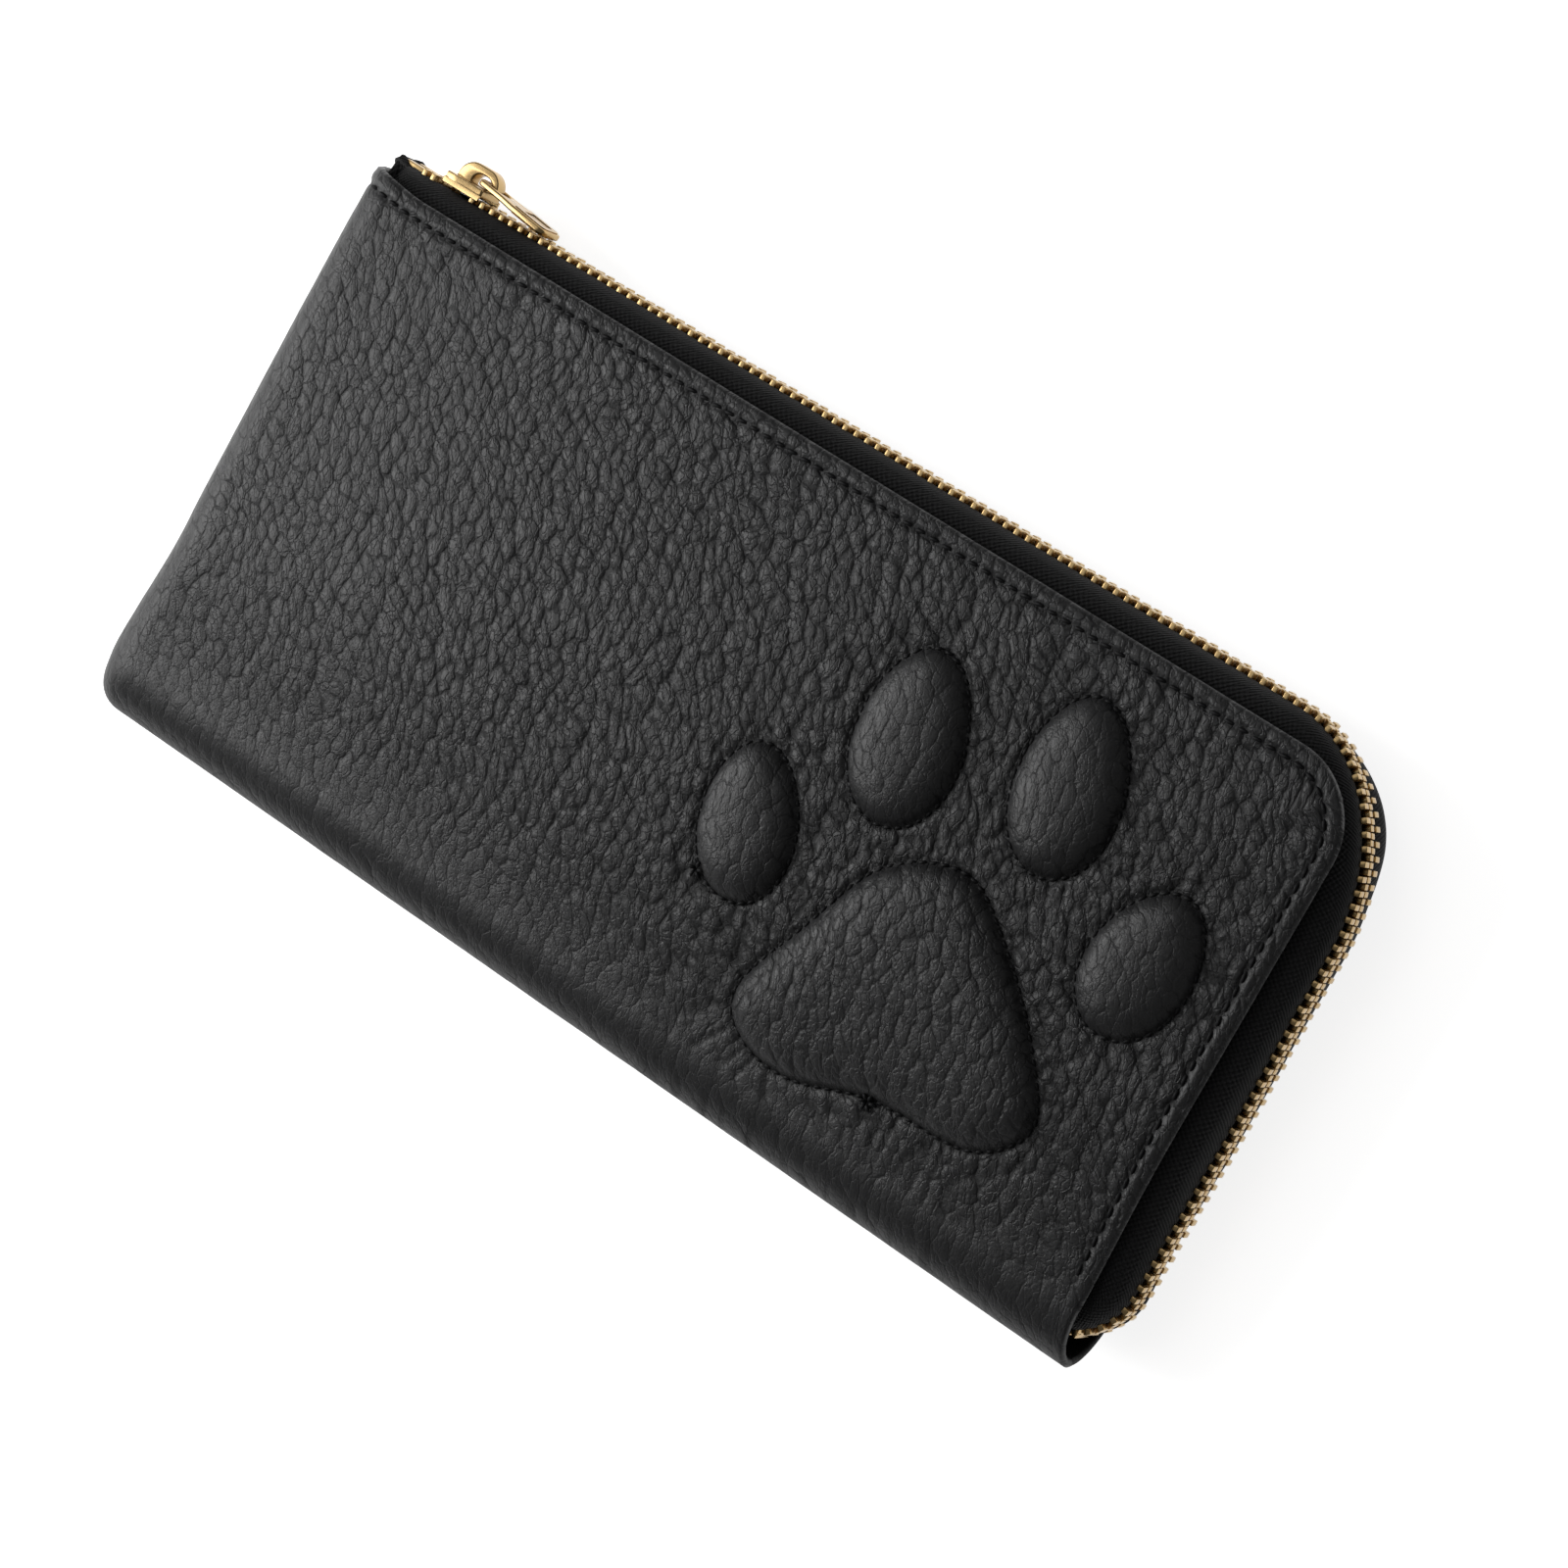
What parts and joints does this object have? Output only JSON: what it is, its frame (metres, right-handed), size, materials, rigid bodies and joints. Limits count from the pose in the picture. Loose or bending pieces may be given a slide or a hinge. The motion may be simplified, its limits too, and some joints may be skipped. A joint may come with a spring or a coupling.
{
  "type": "zip long wallet",
  "caption": "Slim long wallet in soft leather that opens with a zip along one long side and one short side, with quilted paw pads.",
  "frame": {"origin": "centre of the back panel's flat resting face, half way between the turned left seam and the chain on the right, and half way between the spine fold and the height of the body", "axes": "+X along the long side towards the zipped short end, +Y towards the zipped long edge, +Z out of the front panel, so the wallet lies on its back"},
  "size_m": [0.1999, 0.1044, 0.0227],
  "materials": {
    "grained_leather": "soft pebbled grain, satin, black",
    "lining_cloth": "fine woven lining, black",
    "card_leather": "thin smooth leather, black",
    "foam": "soft padding",
    "woven_tape": "herringbone zip tape, black",
    "gold_metal": "polished light gold plating",
    "black_coil": "nylon coil, black"
  },
  "bodies": {
    "back": {"outer_leather_body": "grained_leather", "back_lining": "lining_cloth", "front_lining_body": "lining_cloth", "foam_palm": "foam", "foam_toe_outer_left": "foam", "card_panel_1": "card_leather", "card_panel_2": "card_leather", "card_panel_3": "card_leather", "coin_pocket": "lining_cloth", "coin_zip_tape_front": "woven_tape", "coin_zip_tape_back": "woven_tape", "coin_zip_coil_front": "black_coil", "coin_zip_coil_back": "black_coil", "coin_top_stop": "gold_metal", "coin_bottom_stop": "gold_metal", "back_zip_tape": "woven_tape", "back_zip_teeth": "gold_metal", "front_top_stop": "gold_metal", "back_top_stop": "gold_metal", "bottom_stop": "gold_metal"},
    "flap": {"outer_leather_flap": "grained_leather", "front_lining_flap": "lining_cloth", "foam_toe_inner_left": "foam", "foam_toe_inner_right": "foam", "foam_toe_outer_right": "foam", "front_zip_tape": "woven_tape", "front_zip_teeth": "gold_metal"},
    "slider": {"slider": "gold_metal"},
    "puller": {"puller": "gold_metal"},
    "coin_slider": {"coin_slider": "gold_metal"},
    "coin_puller": {"coin_puller": "gold_metal"}
  },
  "joints": [
    {"name": "flap_open", "type": "hinge", "parent": "back", "child": "flap", "pos_m": [0, 0.013, 0.0229], "axis": [0.8944, -0.4472, 0], "range_deg": [0, 45], "deforming": ["front_zip_tape", "front_zip_teeth", "foam_palm"]},
    {"name": "slider_run", "type": "slide", "parent": "back", "child": "slider", "axis": [1, 0, 0], "range_m": [0, 0.16], "deforming": ["back_zip_teeth"]},
    {"name": "puller_swing", "type": "hinge", "parent": "slider", "child": "puller", "pos_m": [-0.0811, 0.0523, 0.01], "axis": [0, 0, 1], "range_deg": [0, 140]},
    {"name": "coin_slider_run", "type": "slide", "parent": "back", "child": "coin_slider", "axis": [1, 0, 0], "range_m": [0, 0.135], "deforming": ["coin_zip_coil_front", "coin_zip_coil_back"]},
    {"name": "coin_puller_swing", "type": "hinge", "parent": "coin_slider", "child": "coin_puller", "pos_m": [-0.0719, 0.029, 0.0124], "axis": [0, 0, 1], "range_deg": [0, 140]}
  ],
  "couplings": [
    {"joint": "slider_run", "follows": "flap_open", "m_per_rad": 0.2035}
  ]
}
